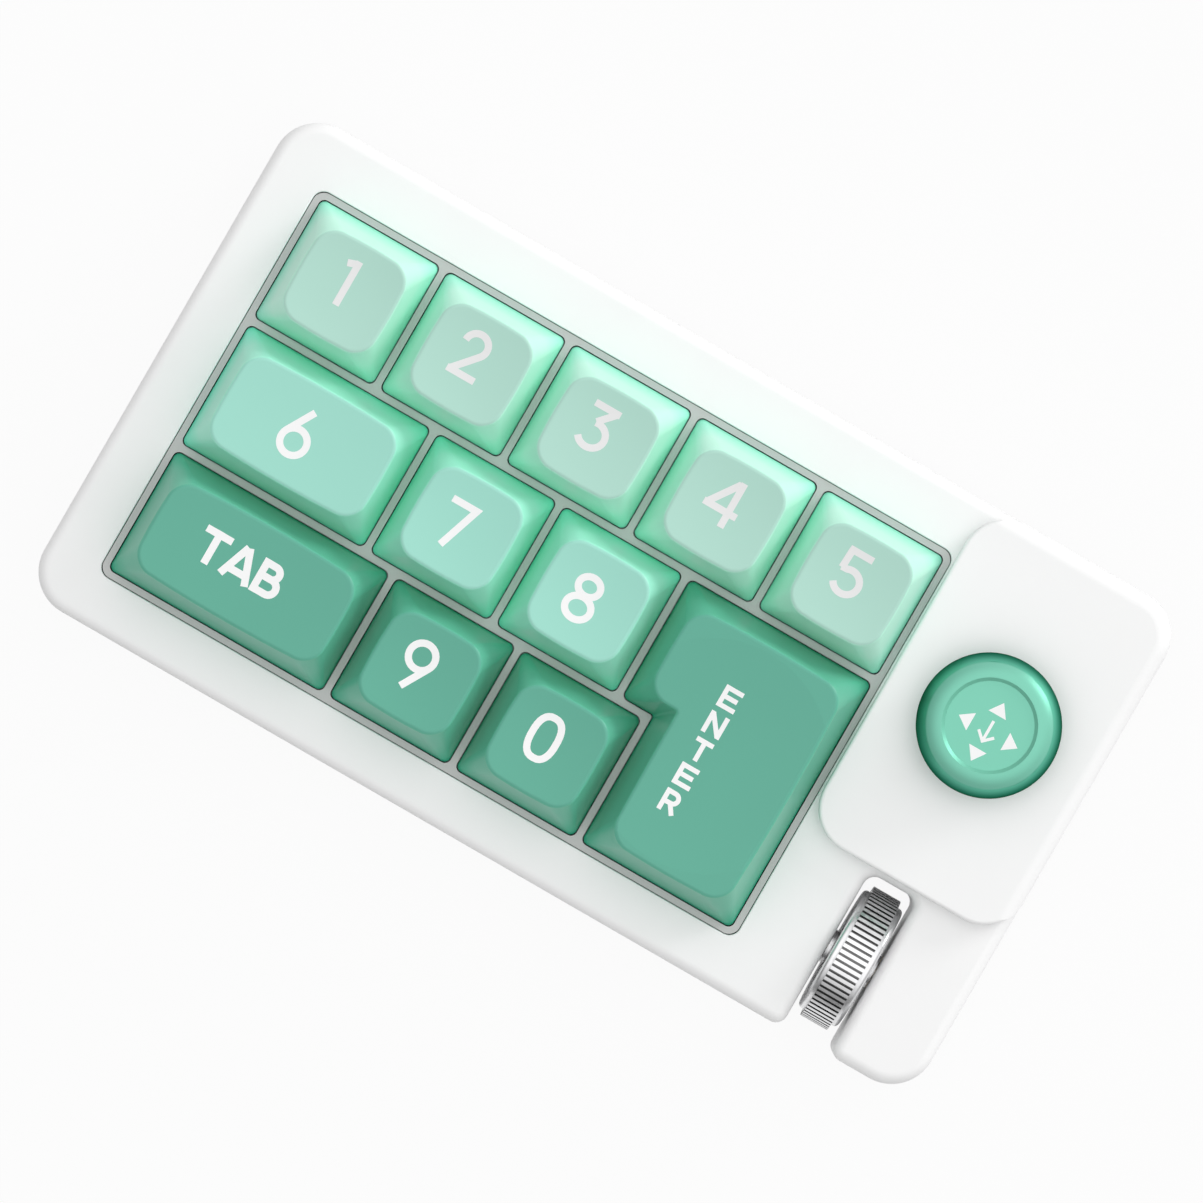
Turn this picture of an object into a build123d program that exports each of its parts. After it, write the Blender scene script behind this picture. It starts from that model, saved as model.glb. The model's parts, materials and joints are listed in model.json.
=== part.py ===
from build123d import *
import math
import os

# Key field, in mm like every size below
PITCH = 19.05               # one key unit
COLUMNS = 5
ROWS = [                    # back row first, name and width in key units
    [("1", 1.0), ("2", 1.0), ("3", 1.0), ("4", 1.0), ("5", 1.0)],
    [("6", 1.5), ("7", 1.0), ("8", 1.0)],
    [("tab", 1.75), ("9", 1.0), ("0", 1.0)],
]
KEY_GAP = 1.2               # between neighbouring keycaps
KEY_TRAVEL = 3.6
WELL_GAP = 1.1              # between the outer keycaps and the well's wall
WELL_CORNER = 1.6
WELL_EDGE_ROUND = 0.2
GRID_HEIGHT = 5.8           # lattice between the keycaps, above the plate
GRID_GAP = 0.1              # lattice to the well's wall
CELL_GAP = 0.12             # lattice to the keycaps

# Keycaps
CAP_HEIGHT = 9.2
CAP_INSET = 2.2             # top face inside the base, at the middle of a side
CAP_FORWARD = 0.25          # top face set towards the front
CAP_WALL = 1.4
CAP_ROOF = 1.8
CAP_BASE_CORNER = 0.9
CAP_TOP_CORNER = 3.3
CAP_NOTCH_CORNER = 0.4      # inside corner of the enter keycap
CAP_BULGE = 0.35            # sides of the top face bow outwards
CAP_EDGE_ROUND = 0.5
DISH_DEPTH = 0.7
DISH_RADIUS = 60.0
WIDE_DISH_RADIUS = 170.0
SOCKET_D = 5.6              # post under the keycap that takes the stem's cross

# Outer case
CASE_CORNER = 6.0
WELL_LEFT = 7.5             # deck between the case's side and the well
WELL_FRONT = 6.9
WELL_BACK = 8.0
SLOT_TO_WALL = 8.2          # inside the case, right of the roller's slot
LOWER_HEIGHT = 11.5
UPPER_HEIGHT = 6.5
WALL = 2.2
FLOOR = 2.0
ROOF = 2.0
TOP_ROUND = 1.5
BOTTOM_ROUND = 1.0
LIP = 0.9                   # tongue of the lower half inside the upper half
LIP_HEIGHT = 1.4
LIP_GAP = 0.15

# Raised deck around the joystick
PLATEAU_RISE = 2.5
PLATEAU_FROM_WELL = 0.3
PLATEAU_FROM_SLOT = 0.8
PLATEAU_ROUND = 0.5         # over the deck
PLATEAU_OUTER_ROUND = 2.0   # over the case's sides
HOLE_ROUND = 0.5

# Feet
FOOT_D = 9.0
FOOT_PROUD = 1.0
FOOT_RECESS = 0.8
FOOT_FROM_SIDE = 6.2
FOOT_FROM_END = 7.5
FOOT_GAP = 0.1
FOOT_ROUND = 0.3

# Screws of the case
SCREW_D = 2.0
SCREW_GAP = 0.15
SCREW_HEAD_D = 3.8
SCREW_HEAD = 1.6
DRIVE_LENGTH = 2.3          # cross in the head
DRIVE_WIDTH = 0.55
DRIVE_DEPTH = 0.8
SCREW_SUNK = 0.6            # head below the case's underside
SCREW_BITE = 3.0            # thread above the plate
SCREW_SPAN = 65.0           # along the front and back edges
SCREW_FROM_LEFT = 17.0
PILLAR_D = 5.2
BOSS_D = 4.6
SCREW_FROM_BOX = 0.65       # right pillar to the joystick's box
SCREW_BEHIND = 5.7          # right screw behind the joystick's middle
SLOT_SCREW_FROM_SLOT = 1.0  # pillar beside the slot, in front of the plateau's edge

# Circuit board and switch plate
BOARD_ROOM = 3.4            # under the board
BOARD_T = 1.6
BOARD_INSET = 0.8           # inside the well's outline
BOARD_EDGE = 0.35           # past the joystick's box
BOARD_FROM_SLOT = 0.6       # board to the slot's walls
REST_D = 3.0                # posts of the lower case under the board
REST_FROM_EDGE = 9.0        # last post behind the plateau's edge
PLATE_ABOVE_BOARD = 5.0     # top of the plate
PLATE_T = 1.5
PLATE_GAP = 0.8             # plate to the case's walls
PLATE_BEYOND = 3.5          # plate past the well on the joystick's side
PLATE_CORNER = 2.6

# Key switches
SWITCH_BODY = 13.9
PLATE_FIT = 0.05            # switch to the plate
FLANGE_EDGE = 0.85          # past the switch's body
FLANGE_T = 1.0
HOUSING_RISE = 6.6          # above the plate
HOUSING_INSET = 0.7         # inside the flange
HOUSING_TAPER = 1.6         # each side, up to the top
SWITCH_FLOOR = 1.0
SLIDER_W = 7.0
SLIDER_D = 6.2
SLIDER_DROP = 0.2           # slider's shoulder below the housing's top
SLIDE_GAP = 0.15
COLLAR_W = 8.2
COLLAR_D = 7.4
COLLAR_T = 1.0
STOP_GAP = 0.1
OVERTRAVEL = 0.9            # under the slider at full press
CROSS = 4.0
CROSS_T = 1.25
CROSS_HEIGHT = 3.8
CROSS_GAP = 0.05
POLE_D = 2.8
POLE_GAP = 0.15
SPRING_D = 3.85             # to the middle of the wire
SPRING_WIRE = 0.3
SPRING_TURNS = 7
SPRING_BORE = 4.9
SLIDER_ROOF = 1.4
POST_D = 3.9
POST_FLOOR = 0.5
POST_GAP = 0.1
PIN_D = 1.0
PIN_PLACES = [(-3.8, 3.4), (2.5, 5.1)]
PIN_GAP = 0.2
PIN_BELOW = 1.4             # under the board
SOCKET_EDGE = 1.0           # socket around its pins
SOCKET_T = 1.8

# Stabiliser of the enter key
STAB_FROM_FLANGE = 0.54     # housing to the switch's flange
STAB_FROM_SWITCH = 0.85     # bar to the switch's body
STAB_BAR_DROP = 0.9         # bar's axis below the plate
STAB_WIRE = 1.6
STAB_LEVER = 8.8
STAB_LEFT = 4.4
STAB_EDGE = 1.0             # housing past the bar
STAB_DEPTH = 7.2
STAB_RISE = 1.4             # housing above the plate
STAB_ROOF = 0.8
STAB_GAP = 0.3
INSERT_W = 4.6
INSERT_D = 4.0
INSERT_FOOT = 2.2           # insert below its window's middle
WINDOW_W = 2.2
WINDOW_H = 3.0

# Roller
WHEEL_D = 19.5
WHEEL_BAND = 4.0
WHEEL_RIM_D = 17.7
WHEEL_WIDTH = 5.9
WHEEL_ROUND = 0.6
KNURLS = 72
KNURL_WIDTH = 0.36
KNURL_DEPTH = 0.35
HUB_D = 4.8
HUB_GAP = 0.15
AXLE_D = 3.0
RUNNING_GAP = 0.03
ROLLER_FROM_FRONT = 12.3
SLOT_WIDTH = 7.2
SLOT_END_GAP = 1.35
SLOT_CORNER = 1.65
SLOT_WALL = 1.75
BUSH_D = 5.0
BUSH_FLANGE_D = 6.4
BUSH_FLANGE = 0.6
BUSH_GAP = 0.05
AXLE_BEYOND = 0.5           # past the right bush
ENCODER_GAP = 0.3
ENCODER_FROM_PLATE = 0.55
ENCODER_T = 4.4
ENCODER_DEPTH = 11.0
ENCODER_HEIGHT = 8.4
ROTOR_D = 6.6
ROTOR_T = 3.6
ROTOR_GAP = 0.3

# Joystick
JOYSTICK_FROM_BACK = 25.25
PIVOT_DROP = 5.5            # pivot below the raised deck
PRESS = 0.8
KNOB_D = 19.1
KNOB_CREST_D = 16.6
KNOB_DISC_D = 11.7
KNOB_ABOVE_PIVOT = 9.4
KNOB_SIDE = 2.6
KNOB_BEVEL = 0.4
KNOB_SIDE_BOW = 0.08
KNOB_RING_BOW = 0.22
KNOB_BROW_ROUND = 0.3
KNOB_RISE = 0.9             # crest of the knob above its side's edge
KNOB_STEP = 0.4
KNOB_STEP_WIDTH = 0.45
KNOB_HUB_D = 8.0
KNOB_HUB = 1.5
SHAFT_D = 5.0
SHAFT_GAP = 0.1
PLUNGER_D = 2.4
PLUNGER_GRIP = 2.0          # inside the knob
HUB_BALL_D = 6.8
PIVOT_PIN_D = 2.0
PIVOT_PIN_END = 0.2         # pins short of their far face
RING_OUTER_D = 11.4
RING_INNER_D = 8.0
RING_HEIGHT = 3.2
DOME_D = 14.0
DOME_T = 0.8
DOME_GAP = 0.44             # to the edge of its hole
DOME_ANGLE = 58.0
TAIL = 3.6                  # stick below the pivot
TAIL_FLANGE_D = 10.4
TAIL_FLANGE = 0.8
BOX_SIZE = 15.6
BOX_WALL = 1.4
BOX_FLOOR = 1.5
BOX_ABOVE_PIVOT = 1.6
TIP_BELOW_TAIL = 0.8
PUSH_SWITCH = 4.5
PUSH_SWITCH_T = 0.8
BUTTON_D = 3.0
BUTTON_GAP = 0.2            # plunger to button at full press
CONTACT_D = 1.8
CONTACT_RADIUS = 5.1
CONTACT_HEIGHT = 1.6
CENTRING_D = 7.4
CENTRING_WIRE = 0.4
CENTRING_TURNS = 3

# Cable socket, a standard receptacle
PORT_WIDTH = 8.94
PORT_HEIGHT = 3.26
PORT_LENGTH = 7.3
PORT_CORNER = 1.6
PORT_WALL = 0.3
PORT_SUNK = 0.3             # mouth inside the case's back face
PORT_GAP = 0.4
PORT_TONGUE_W = 6.6
PORT_TONGUE_T = 0.7
PORT_TONGUE_SUNK = 1.2
PORT_BACK = 1.4
PORT_LEDGE = 2.2            # board beside the socket

# Chips, width, depth and height, on the board beside the key switches
CHIPS = [(5.0, 5.0, 0.9), (3.0, 3.0, 0.8), (2.0, 1.2, 0.6)]
CHIP_SPACING = 6.0

# Places in plan, from the middle of the case
well_width = COLUMNS * PITCH - KEY_GAP + 2 * WELL_GAP
well_depth = len(ROWS) * PITCH - KEY_GAP + 2 * WELL_GAP
slot_wall_width = SLOT_WIDTH + 2 * SLOT_WALL
encoder_room = PLATE_BEYOND + ENCODER_FROM_PLATE + ENCODER_T + ENCODER_GAP + BUSH_FLANGE
controls_width = encoder_room + slot_wall_width + SLOT_TO_WALL + WALL
case_length = WELL_LEFT + well_width + controls_width
case_depth = WELL_FRONT + well_depth + WELL_BACK
well_x = WELL_LEFT + (well_width - case_length) / 2
well_y = WELL_FRONT + (well_depth - case_depth) / 2
well_right = well_x + well_width / 2
field_left = well_x - COLUMNS * PITCH / 2
field_right = well_x + COLUMNS * PITCH / 2
field_back = well_y + len(ROWS) * PITCH / 2
roller_x = well_right + encoder_room + slot_wall_width / 2
roller_y = ROLLER_FROM_FRONT - case_depth / 2
slot_back = roller_y + WHEEL_D / 2 + SLOT_END_GAP
plateau_left = well_right + PLATEAU_FROM_WELL
plateau_front = slot_back + PLATEAU_FROM_SLOT
joystick_x = roller_x
joystick_y = case_depth / 2 - JOYSTICK_FROM_BACK

# Widths that follow a key switch
plate_hole = SWITCH_BODY + 2 * PLATE_FIT
flange = SWITCH_BODY + 2 * FLANGE_EDGE
housing_base = flange - 2 * HOUSING_INSET
housing_top_width = housing_base - 2 * HOUSING_TAPER
stab_spacing = flange + 2 * STAB_FROM_FLANGE + STAB_DEPTH
stab_bar_x = SWITCH_BODY / 2 + STAB_FROM_SWITCH + STAB_WIRE / 2

# Heights, from the plane the feet stand on
under_z = FOOT_PROUD
floor_z = under_z + FLOOR
board_z = floor_z + BOARD_ROOM
board_top = board_z + BOARD_T
plate_top = board_top + PLATE_ABOVE_BOARD
plate_z = plate_top - PLATE_T
parting_z = under_z + LOWER_HEIGHT
deck_z = parting_z + UPPER_HEIGHT
plateau_z = deck_z + PLATEAU_RISE
axle_z = parting_z

# Heights inside a key switch
flange_top = plate_top + FLANGE_T
housing_top = plate_top + HOUSING_RISE
slider_top = housing_top - SLIDER_DROP
cross_top = slider_top + CROSS_HEIGHT
spring_floor = board_top + SWITCH_FLOOR
slider_bottom = spring_floor + KEY_TRAVEL + OVERTRAVEL
spring_top = slider_top - SLIDER_ROOF
pole_bottom = spring_floor + STOP_GAP
pole_floor = pole_bottom - KEY_TRAVEL - STOP_GAP
post_bottom = pole_floor - POST_FLOOR
skirt_z = flange_top + KEY_TRAVEL + OVERTRAVEL
cap_top = skirt_z + CAP_HEIGHT

# Heights of the joystick
pivot_z = plateau_z - PIVOT_DROP
knob_z = pivot_z + KNOB_ABOVE_PIVOT
box_floor_z = board_top + BOX_FLOOR
tail_z = pivot_z - TAIL
tip_z = tail_z - TIP_BELOW_TAIL
dome_rise = PIVOT_DROP - ROOF
dome_hole = 2 * (math.sqrt((DOME_D / 2) ** 2 - dome_rise ** 2) + DOME_GAP)

BASE = (Align.CENTER, Align.CENTER, Align.MIN)
PAST = 1.0                  # cuts run past the face they open
NEAR = 0.01                 # edges this close to a place belong to it


def block(width, depth, bottom, top):
    return Pos(0, 0, bottom) * Box(width, depth, top - bottom, align=BASE)


def rod(diameter, bottom, top):
    return Pos(0, 0, bottom) * Cylinder(diameter / 2, top - bottom, align=BASE)


def rounded_block(width, depth, corner, bottom, top):
    return Pos(0, 0, bottom) * extrude(RectangleRounded(width, depth, corner), top - bottom)


def rod_along_x(diameter, left, right, z):
    return Pos(left, 0, z) * Rot(0, 90, 0) * Cylinder(diameter / 2, right - left, align=BASE)


def rod_along_y(diameter, front, back, z):
    return Pos(0, back, z) * Rot(90, 0, 0) * Cylinder(diameter / 2, back - front, align=BASE)


def turned(*edges):
    return revolve(make_face(edges), Axis.Z)


def bowed(start, end, bow):
    start, end = Vector(*start), Vector(*end)
    along = (end - start).normalized()
    return ThreePointArc(start, (start + end) / 2 + Vector(along.Z, 0, -along.X) * bow, end)


def coil(diameter, wire, turns, bottom, top):
    pitch = (top - bottom - wire) / turns
    path = Pos(0, 0, bottom + wire / 2) * Helix(pitch, pitch * turns, diameter / 2)
    section = Plane(path @ 0, z_dir=path % 0) * Circle(wire / 2)
    return sweep(section, path, is_frenet=True)


def group(solids):
    return Compound(children=list(solids))


# Keys
def key_places():
    places = {}
    for row, keys in enumerate(ROWS):
        left = 0.0
        for name, width in keys:
            x = field_left + (left + width / 2) * PITCH
            places[name] = (x, field_back - (row + 0.5) * PITCH)
            left += width
    enter_x = field_right - enter_width() * PITCH / 2
    places["enter"] = (enter_x, field_back - 2 * PITCH)
    return places


def row_width(row):
    return sum(width for name, width in ROWS[row])


def enter_width():
    return COLUMNS - row_width(2)


def key_width(key):
    return next((width for row in ROWS for name, width in row if name == key), None)


def key_corners(key, side, front, back):
    if key != "enter":
        x = (key_width(key) * PITCH - KEY_GAP) / 2 - side
        y = (PITCH - KEY_GAP) / 2
        return [(-x, front - y), (x, front - y), (x, y - back), (-x, y - back)]
    x = (enter_width() * PITCH - KEY_GAP) / 2
    y = PITCH - KEY_GAP / 2
    left = side - x - (row_width(2) - row_width(1)) * PITCH
    notch = KEY_GAP / 2 + front
    return [(side - x, front - y), (x - side, front - y), (x - side, y - back),
            (left, y - back), (left, notch), (side - x, notch)]


def key_outline(key, side, front, back, corner, bulge=0.0):
    points = [Vector(*p) for p in key_corners(key, side + bulge, front + bulge, back + bulge)]
    edges = []
    for number, start in enumerate(points):
        end = points[(number + 1) % len(points)]
        along = (end - start).normalized()
        outward = Vector(along.Y, -along.X)
        if bulge and number < 4:
            edges.append(ThreePointArc(start, (start + end) / 2 + outward * bulge, end))
        else:
            edges.append(Line(start, end))
    face = make_face(edges)
    for number, point in enumerate(points):
        nearest = min(face.vertices(), key=lambda v: (Vector(v.X, v.Y) - point).length)
        face = fillet(nearest, CAP_NOTCH_CORNER if number == 5 else corner)
    return face


def keycap(key):
    front = CAP_INSET - CAP_FORWARD
    back = CAP_INSET + CAP_FORWARD
    base = key_outline(key, 0, 0, 0, CAP_BASE_CORNER)
    face = key_outline(key, CAP_INSET, front, back, CAP_TOP_CORNER, CAP_BULGE)
    cap = loft([Pos(0, 0, skirt_z) * base, Pos(0, 0, cap_top) * face])
    radius = DISH_RADIUS if key_width(key) == 1 else WIDE_DISH_RADIUS
    middle = face.bounding_box().center()
    dish = Pos(middle.X, middle.Y, cap_top - DISH_DEPTH + radius) * Rot(90, 0, 0) * Sphere(radius)
    cap = cap - dish
    dished = cap.faces().filter_by(GeomType.SPHERE)[0]
    cap = fillet(dished.edges(), CAP_EDGE_ROUND)
    ceiling = cap_top - DISH_DEPTH - CAP_ROOF
    inside = key_outline(key, CAP_WALL, CAP_WALL, CAP_WALL, CAP_BASE_CORNER)
    under = key_outline(key, CAP_INSET + CAP_WALL, front + CAP_WALL, back + CAP_WALL, CAP_BASE_CORNER)
    cap -= loft([Pos(0, 0, skirt_z) * inside, Pos(0, 0, ceiling) * under])
    post = rod(SOCKET_D, slider_top, ceiling + CAP_ROOF / 2) - cross(CROSS_GAP)
    for y in post_places(key):
        cap += Pos(0, y, 0) * post
    return cap


def post_places(key):
    return [-stab_spacing / 2, 0, stab_spacing / 2] if key == "enter" else [0]


def cross(gap=0.0):
    length = CROSS + 2 * gap
    thickness = CROSS_T + 2 * gap
    top = cross_top + gap
    return block(length, thickness, slider_top, top) + block(thickness, length, slider_top, top)


def stem():
    slider = block(SLIDER_W, SLIDER_D, slider_bottom, slider_top)
    collar = block(COLLAR_W, COLLAR_D, slider_bottom, slider_bottom + COLLAR_T)
    bore = rod(SPRING_BORE, slider_bottom, spring_top)
    pole = rod(POLE_D, pole_bottom, spring_top)
    return slider + collar - bore + pole + cross()


def collar_room(bottom, top):
    return block(COLLAR_W + 2 * SLIDE_GAP, COLLAR_D + 2 * SLIDE_GAP, bottom, top)


def switch_lower_housing():
    body = block(SWITCH_BODY, SWITCH_BODY, board_top, plate_top)
    body += block(flange, flange, plate_top, flange_top)
    body += rod(POST_D, post_bottom, board_top)
    body -= collar_room(spring_floor, flange_top)
    return body - rod(POLE_D + 2 * POLE_GAP, pole_floor, spring_floor)


def switch_upper_housing():
    base = Pos(0, 0, flange_top) * Rectangle(housing_base, housing_base)
    top = Pos(0, 0, housing_top) * Rectangle(housing_top_width, housing_top_width)
    body = loft([base, top])
    body -= block(SLIDER_W + 2 * SLIDE_GAP, SLIDER_D + 2 * SLIDE_GAP, flange_top, housing_top)
    return body - collar_room(flange_top, slider_bottom + COLLAR_T + STOP_GAP)


def switch_spring():
    return coil(SPRING_D, SPRING_WIRE, SPRING_TURNS, spring_floor, spring_top)


def switch_pins():
    pin = rod(PIN_D, board_z - PIN_BELOW, board_top)
    return [Pos(x, y, 0) * pin for x, y in PIN_PLACES]


def switch_socket():
    (x1, y1), (x2, y2) = PIN_PLACES
    edge = 2 * SOCKET_EDGE
    body = block(x2 - x1 + edge, y2 - y1 + edge, board_z - SOCKET_T, board_z)
    body = Pos((x1 + x2) / 2, (y1 + y2) / 2, 0) * body
    for x, y in PIN_PLACES:
        body -= Pos(x, y, 0) * rod(PIN_D + 2 * PIN_GAP, board_z - SOCKET_T, board_z)
    return body


# Stabiliser of the enter key, about the middle of its switch
def stab_angle():
    return math.asin(KEY_TRAVEL / 2 / STAB_LEVER)


def stabiliser_wire():
    bar_z = plate_z - STAB_BAR_DROP
    half = stab_spacing / 2
    wire = Pos(stab_bar_x, 0, 0) * rod_along_y(STAB_WIRE, -half, half, bar_z)
    arm = Rot(0, math.degrees(stab_angle()) - 90, 0)
    arm = arm * Cylinder(STAB_WIRE / 2, STAB_LEVER, align=BASE)
    for y in (-half, half):
        corner = Pos(stab_bar_x, y, bar_z)
        wire += corner * arm
        wire += corner * Sphere(STAB_WIRE / 2)
    return wire


def stabiliser_insert():
    window_z = plate_z - STAB_BAR_DROP + KEY_TRAVEL / 2
    body = block(INSERT_W, INSERT_D, window_z - INSERT_FOOT, slider_top) + cross()
    return body - block(INSERT_W, WINDOW_W, window_z - WINDOW_H / 2, window_z + WINDOW_H / 2)


def stabiliser_room(gap, bottom, top):
    width = STAB_LEFT + stab_bar_x + STAB_WIRE / 2 + STAB_EDGE
    room = block(width + 2 * gap, STAB_DEPTH + 2 * gap, bottom, top)
    return Pos(width / 2 - STAB_LEFT, 0, 0) * room


def insert_channel(bottom, top):
    return block(INSERT_W + 2 * STAB_GAP, INSERT_D + 2 * STAB_GAP, bottom, top)


def stabiliser_housing():
    top = plate_top + STAB_RISE
    bar_z = plate_z - STAB_BAR_DROP
    body = stabiliser_room(0, board_top, top) - insert_channel(board_top, top)
    slot_right = stab_bar_x + STAB_WIRE / 2 + STAB_GAP
    slot = block(slot_right, STAB_WIRE + 2 * STAB_GAP, board_top, top - STAB_ROOF)
    body -= Pos(slot_right / 2, 0, 0) * slot
    return body - Pos(stab_bar_x, 0, 0) * rod_along_y(STAB_WIRE + 2 * POLE_GAP, -STAB_DEPTH, 0, bar_z)


def stabiliser_pair(solid):
    half = stab_spacing / 2
    return [Pos(0, half, 0) * solid, Pos(0, -half, 0) * mirror(solid, Plane.XZ)]


# Outer case
def case_plan():
    plan = RectangleRounded(case_length, case_depth, CASE_CORNER)
    front = -case_depth / 2 - SLOT_CORNER
    slot = Rectangle(SLOT_WIDTH, slot_back - front)
    plan -= Pos(roller_x, (slot_back + front) / 2) * slot
    beside = [v for v in plan.vertices() if abs(abs(v.X - roller_x) - SLOT_WIDTH / 2) < NEAR]
    return fillet(beside, SLOT_CORNER)


def inner_plan(depth):
    return RectangleRounded(case_length - 2 * depth, case_depth - 2 * depth, CASE_CORNER - depth)


def slot_plan(wall):
    front = -case_depth / 2 - SLOT_CORNER
    back = slot_back + wall
    return Pos(roller_x, (back + front) / 2) * Rectangle(SLOT_WIDTH + 2 * wall, back - front)


def prism(plan, bottom, top):
    return Pos(0, 0, bottom) * extrude(plan, top - bottom)


def plateau_block(inset, corner, bottom, top):
    left, right = plateau_left + inset, case_length / 2 - inset
    front, back = plateau_front + inset, case_depth / 2 - inset
    body = rounded_block(right - left, back - front, corner, bottom, top)
    return Pos((left + right) / 2, (front + back) / 2, 0) * body


def edges_at(solid, z):
    return [e for e in solid.edges() if abs(e.bounding_box().min.Z - z) < NEAR
            and abs(e.bounding_box().max.Z - z) < NEAR]


def clamp_screws():
    back = (well_y + well_depth / 2 + case_depth / 2 - WALL) / 2
    front = (well_y - well_depth / 2 - case_depth / 2 + WALL) / 2
    left = SCREW_FROM_LEFT - case_length / 2
    return [(left, back), (left + SCREW_SPAN, back), (left, front), (left + SCREW_SPAN, front)]


def side_screws():
    slot_side = roller_x + slot_wall_width / 2
    beside = (slot_side + case_length / 2 - WALL) / 2
    right = joystick_x + BOX_SIZE / 2 + SCREW_FROM_BOX + PILLAR_D / 2
    return [(right, joystick_y + SCREW_BEHIND),
            (beside, slot_back - SLOT_SCREW_FROM_SLOT)]


def foot_places():
    x = case_length / 2 - FOOT_FROM_SIDE
    y = case_depth / 2 - FOOT_FROM_END
    return [(-x, y), (x, y), (-x, -y), (x, -y)]


def bush_hole():
    reach = slot_wall_width / 2 + BUSH_GAP
    return Pos(roller_x, roller_y, 0) * rod_along_x(BUSH_D + 2 * BUSH_GAP, -reach, reach, axle_z)


def lip_ring(inner, outer, bottom, top):
    ring = inner_plan(outer) - inner_plan(inner) - slot_plan(SLOT_WALL + LIP_GAP)
    return prism(ring, bottom, top)


def screw_top():
    return plate_top + SCREW_BITE


def raised_deck():
    raised = plateau_block(0, CASE_CORNER, parting_z, plateau_z)
    raised = fillet(edges_at(raised, plateau_z), PLATEAU_ROUND)
    around = prism(inner_plan(0), parting_z, plateau_z)
    return raised & fillet(edges_at(around, plateau_z), PLATEAU_OUTER_ROUND)


def top_case():
    deck = prism(case_plan(), parting_z, deck_z)
    deck = fillet(edges_at(deck, deck_z), TOP_ROUND)
    well = rounded_block(well_width, well_depth, WELL_CORNER, parting_z, deck_z + PAST)
    deck -= Pos(well_x, well_y, 0) * well
    inner = [e for e in edges_at(deck, deck_z) if abs(e.center().X - well_x) <= well_width / 2 + NEAR
             and abs(e.center().Y - well_y) <= well_depth / 2 + NEAR]
    deck = fillet(inner, WELL_EDGE_ROUND)
    body = deck + raised_deck()
    body -= prism(inner_plan(WALL) - slot_plan(SLOT_WALL), parting_z, deck_z - ROOF)
    body -= plateau_block(WALL, CASE_CORNER - WALL, parting_z, plateau_z - ROOF)
    body -= Pos(joystick_x, joystick_y, 0) * rod(dome_hole, deck_z, plateau_z + PAST)
    rim = [e for e in edges_at(body, plateau_z) if e.geom_type == GeomType.CIRCLE
           and abs(e.radius - dome_hole / 2) < NEAR]
    body = fillet(rim, HOLE_ROUND)
    for x, y in clamp_screws():
        body += Pos(x, y, 0) * rod(BOSS_D, plate_top, deck_z - ROOF / 2)
    right, beside = side_screws()
    body += Pos(*right, 0) * rod(BOSS_D, parting_z, plateau_z - ROOF / 2)
    body += Pos(*beside, 0) * rod(BOSS_D, parting_z, deck_z - ROOF / 2)
    for x, y in clamp_screws() + side_screws():
        body -= Pos(x, y, 0) * rod(SCREW_D + 2 * SCREW_GAP, parting_z, screw_top() + STOP_GAP)
    body -= lip_ring(WALL, WALL - LIP - LIP_GAP, parting_z, parting_z + LIP_HEIGHT + LIP_GAP)
    return body - bush_hole()


def bottom_case():
    body = prism(case_plan(), under_z, parting_z)
    body = fillet(edges_at(body, under_z), BOTTOM_ROUND)
    body -= prism(inner_plan(WALL) - slot_plan(SLOT_WALL), floor_z, parting_z)
    body += lip_ring(WALL, WALL - LIP, floor_z, parting_z + LIP_HEIGHT)
    for x, y in clamp_screws():
        body += Pos(x, y, 0) * rod(PILLAR_D, under_z + BOTTOM_ROUND, plate_z)
    for x, y in side_screws():
        body += Pos(x, y, 0) * rod(PILLAR_D, under_z + BOTTOM_ROUND, parting_z)
    for x, y in board_rests():
        body += Pos(x, y, 0) * rod(REST_D, under_z + BOTTOM_ROUND, board_z)
    head_top = under_z + SCREW_SUNK + SCREW_HEAD
    for x, y in clamp_screws() + side_screws():
        body -= Pos(x, y, 0) * rod(SCREW_HEAD_D + 2 * SCREW_GAP, under_z, head_top)
        body -= Pos(x, y, 0) * rod(SCREW_D + 2 * SCREW_GAP, under_z, parting_z)
    for x, y in foot_places():
        body -= Pos(x, y, 0) * rod(FOOT_D + 2 * FOOT_GAP, under_z, under_z + FOOT_RECESS)
    body -= port_prism(PORT_GAP, case_depth / 2 - WALL - LIP, case_depth / 2 + PAST)
    return body - bush_hole()


def rubber_foot():
    foot = rod(FOOT_D, 0, under_z + FOOT_RECESS)
    return fillet(edges_at(foot, 0), FOOT_ROUND)


def case_screw():
    head_z = under_z + SCREW_SUNK
    screw = rod(SCREW_HEAD_D, head_z, head_z + SCREW_HEAD)
    screw += rod(SCREW_D, head_z, screw_top())
    slot = block(DRIVE_LENGTH, DRIVE_WIDTH, head_z, head_z + DRIVE_DEPTH)
    return screw - slot - Rot(0, 0, 90) * slot


# Plate, board and lattice
def switch_plate():
    left, right = WALL + PLATE_GAP - case_length / 2, well_right + PLATE_BEYOND
    depth = case_depth - 2 * (WALL + PLATE_GAP)
    plate = rounded_block(right - left, depth, PLATE_CORNER, plate_z, plate_top)
    plate = Pos((left + right) / 2, 0, 0) * plate
    for x, y in key_places().values():
        plate -= Pos(x, y, 0) * block(plate_hole, plate_hole, plate_z, plate_top)
    for x, y in clamp_screws():
        plate -= Pos(x, y, 0) * rod(SCREW_D + 2 * SCREW_GAP, plate_z, plate_top)
    room = stabiliser_room(GRID_GAP, plate_z, plate_top)
    return plate - [at_enter(part) for part in stabiliser_pair(room)]


def at_enter(solid):
    x, y = key_places()["enter"]
    return Pos(x, y, 0) * solid


def board_rests():
    middle = field_back - PITCH
    return [(field_left + 2 * PITCH, middle), (field_left + 4 * PITCH, middle),
            (field_left + PITCH, middle), (joystick_x, plateau_front + REST_FROM_EDGE)]


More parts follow.
